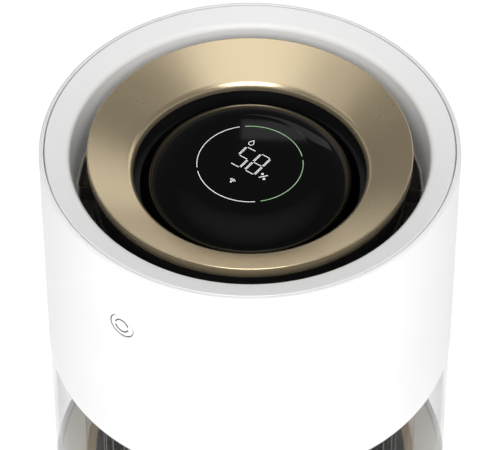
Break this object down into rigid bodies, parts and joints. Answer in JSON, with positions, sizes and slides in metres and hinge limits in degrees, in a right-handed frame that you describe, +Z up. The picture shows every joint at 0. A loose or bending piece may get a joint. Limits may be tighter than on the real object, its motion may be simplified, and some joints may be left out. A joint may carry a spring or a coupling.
{
  "type": "cool mist humidifier",
  "caption": "Cylindrical evaporative humidifier: white fan head with a gold air-outlet dish and round black display, on a clear water tank with a pleated filter.",
  "frame": {"origin": "centre of the footprint at the bottom of the rubber feet", "axes": "+Z up, the button faces -Y and the intake grille +Y"},
  "size_m": [0.26, 0.26, 0.336],
  "materials": {
    "white_plastic": "satin white moulding",
    "champagne_metal": "satin champagne metallised",
    "black_glass": "polished black",
    "black_plastic": "fine matt",
    "clear_plastic": "clear, polished",
    "tinted_plastic": "champagne tint, polished",
    "filter_media": "pleated wick",
    "foam": "closed-cell foam",
    "rubber": "matt",
    "grey_plastic": "matt",
    "circuit_board": "solder mask",
    "light_guide": "diffusing",
    "steel": "machined"
  },
  "bodies": {
    "tank": {"tank_shell": "clear_plastic", "float_guide": "white_plastic", "base_shell": "white_plastic", "base_plate": "grey_plastic", "foot_1": "rubber", "foot_2": "rubber", "foot_3": "rubber", "foot_4": "rubber", "base_screw_1": "steel", "base_screw_2": "steel", "base_screw_3": "steel"},
    "float": {"float": "white_plastic"},
    "filter": {"filter_base": "black_plastic", "filter_media": "filter_media", "filter_core": "black_plastic", "filter_top": "black_plastic", "filter_seal": "foam", "filter_guard": "tinted_plastic"},
    "head": {"head_shell": "white_plastic", "top_ring": "white_plastic", "bottom_plate": "white_plastic", "intake_grille": "white_plastic", "gold_ring": "champagne_metal", "display_glass": "black_glass", "display_frame": "black_plastic", "pod_bowl": "black_plastic", "outlet_vanes": "black_plastic", "inlet_guard": "black_plastic", "dc_socket": "black_plastic", "button_housing": "black_plastic", "fan_housing": "grey_plastic", "button_switch": "grey_plastic", "display_board": "circuit_board", "main_board": "circuit_board", "humidity_sensor": "circuit_board", "light_guide": "light_guide", "motor": "steel", "motor_bearing": "steel", "bottom_screw_1": "steel", "bottom_screw_2": "steel", "bottom_screw_3": "steel", "motor_screw_1": "steel", "motor_screw_2": "steel", "motor_screw_3": "steel"},
    "impeller": {"impeller": "black_plastic", "motor_shaft": "steel", "shaft_nut": "steel"},
    "button": {"button_cap": "white_plastic"}
  },
  "joints": [
    {"name": "head_lift", "type": "slide", "parent": "tank", "child": "head", "axis": [0, 0, 1], "range_m": [0, 0.26]},
    {"name": "filter_lift", "type": "slide", "parent": "tank", "child": "filter", "axis": [0, 0, 1], "range_m": [0, 0.13]},
    {"name": "float_rise", "type": "slide", "parent": "tank", "child": "float", "axis": [0, 0, 1], "range_m": [0, 0.048]},
    {"name": "fan_spin", "type": "hinge", "parent": "head", "child": "impeller", "pos_m": [0, 0, 0.2115], "axis": [0, 0, 1], "continuous": true},
    {"name": "button_press", "type": "slide", "parent": "head", "child": "button", "axis": [0, 1, 0], "range_m": [0, 0.0008], "stiffness_N_per_m": 400, "springref_m": -0.002}
  ],
  "couplings": [
    {"joint": "filter_lift", "follows": "head_lift", "ratio": 0.5}
  ]
}
